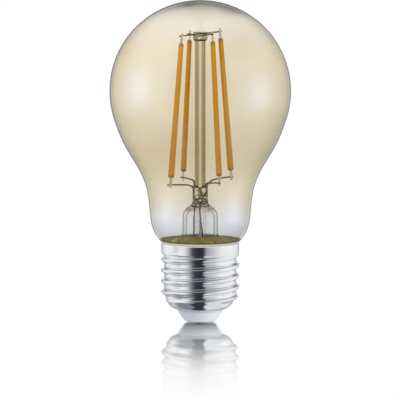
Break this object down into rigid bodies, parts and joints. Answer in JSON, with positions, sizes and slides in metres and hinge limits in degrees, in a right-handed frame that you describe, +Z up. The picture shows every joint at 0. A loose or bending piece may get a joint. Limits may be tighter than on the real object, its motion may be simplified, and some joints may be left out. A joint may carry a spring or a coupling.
{
  "type": "light bulb",
  "caption": "Pear-shaped clear amber glass smart lamp on an Edison screw cap, with straight LED filaments on a glass column and a driver with a radio board in the cap.",
  "frame": {"origin": "middle of the centre contact's flat underside, on the lamp's axis", "axes": "+Z up the lamp's axis from the cap to the top of the glass, -Y towards the viewer, +X to the viewer's right"},
  "size_m": [0.0604, 0.0604, 0.1077],
  "materials": {
    "amber_glass": "clear amber, gloss",
    "clear_glass": "clear, gloss",
    "nickel_cap": "bright nickel plate",
    "grey_insulator": "satin",
    "contact_metal": "tinned, satin",
    "cement": "matt",
    "phosphor": "satin silicone",
    "filament_strip": "satin ceramic",
    "filament_tab": "satin",
    "led_die": "gloss",
    "nickel_wire": "drawn, satin",
    "seal_wire": "copper-clad, dull",
    "copper_wire": "bare copper",
    "board": "satin",
    "radio_board": "satin",
    "sleeve_film": "translucent film",
    "capacitor_can": "satin",
    "bung_rubber": "matt",
    "tinned_wire": "tinned",
    "ferrite": "matt ceramic",
    "resistor_enamel": "enamel",
    "shrink_tube": "satin",
    "live_insulation": "satin",
    "antenna_jacket": "satin",
    "black_epoxy": "matt",
    "tinned_lead": "tinned",
    "tan_ceramic": "matt",
    "shield_metal": "satin",
    "solder": "smooth"
  },
  "bodies": {
    "root": {"antenna_insulation": "antenna_jacket", "antenna_wire": "tinned_wire", "base_insulator": "grey_insulator", "basing_cement": "cement", "bridge_rectifier": "black_epoxy", "bridge_rectifier_pins": "tinned_lead", "bulk_capacitor_bung": "bung_rubber", "bulk_capacitor_can": "capacitor_can", "bulk_capacitor_leads": "tinned_wire", "centre_contact": "contact_metal", "ceramic_capacitors": "tan_ceramic", "chip_component_terminals": "tinned_lead", "chip_resistors": "black_epoxy", "column_button": "clear_glass", "driver_board": "board", "driver_chip": "black_epoxy", "driver_chip_pins": "tinned_lead", "exhaust_tube": "clear_glass", "filament_back_left_coat": "phosphor", "filament_back_left_strip": "filament_strip", "filament_back_right_coat": "phosphor", "filament_back_right_strip": "filament_strip", "filament_front_left_coat": "phosphor", "filament_front_left_strip": "filament_strip", "filament_front_right_coat": "phosphor", "filament_front_right_strip": "filament_strip", "filament_tabs": "filament_tab", "freewheel_diode": "black_epoxy", "freewheel_diode_terminals": "tinned_lead", "fusible_resistor": "resistor_enamel", "fusible_resistor_shrink_tube": "shrink_tube", "fusible_resistor_top_lead": "tinned_wire", "glass_envelope": "amber_glass", "glass_stem": "clear_glass", "inductor_core": "ferrite", "inductor_leads": "tinned_wire", "inductor_winding": "copper_wire", "inner_lead_left": "nickel_wire", "inner_lead_left_branch": "nickel_wire", "inner_lead_right": "nickel_wire", "inner_lead_right_branch": "nickel_wire", "insulating_sleeve": "sleeve_film", "led_chips": "led_die", "live_wire": "copper_wire", "live_wire_insulation": "live_insulation", "neutral_wire": "copper_wire", "outer_lead_left": "copper_wire", "outer_lead_right": "copper_wire", "radio_board": "radio_board", "radio_chip": "black_epoxy", "radio_crystal": "shield_metal", "radio_shield": "shield_metal", "screw_shell": "nickel_cap", "seal_wire_left": "seal_wire", "seal_wire_right": "seal_wire", "solder_joints": "solder", "support_column": "clear_glass", "upper_link_wire_back_front": "nickel_wire", "upper_link_wire_left_right": "nickel_wire"}
  },
  "joints": []
}
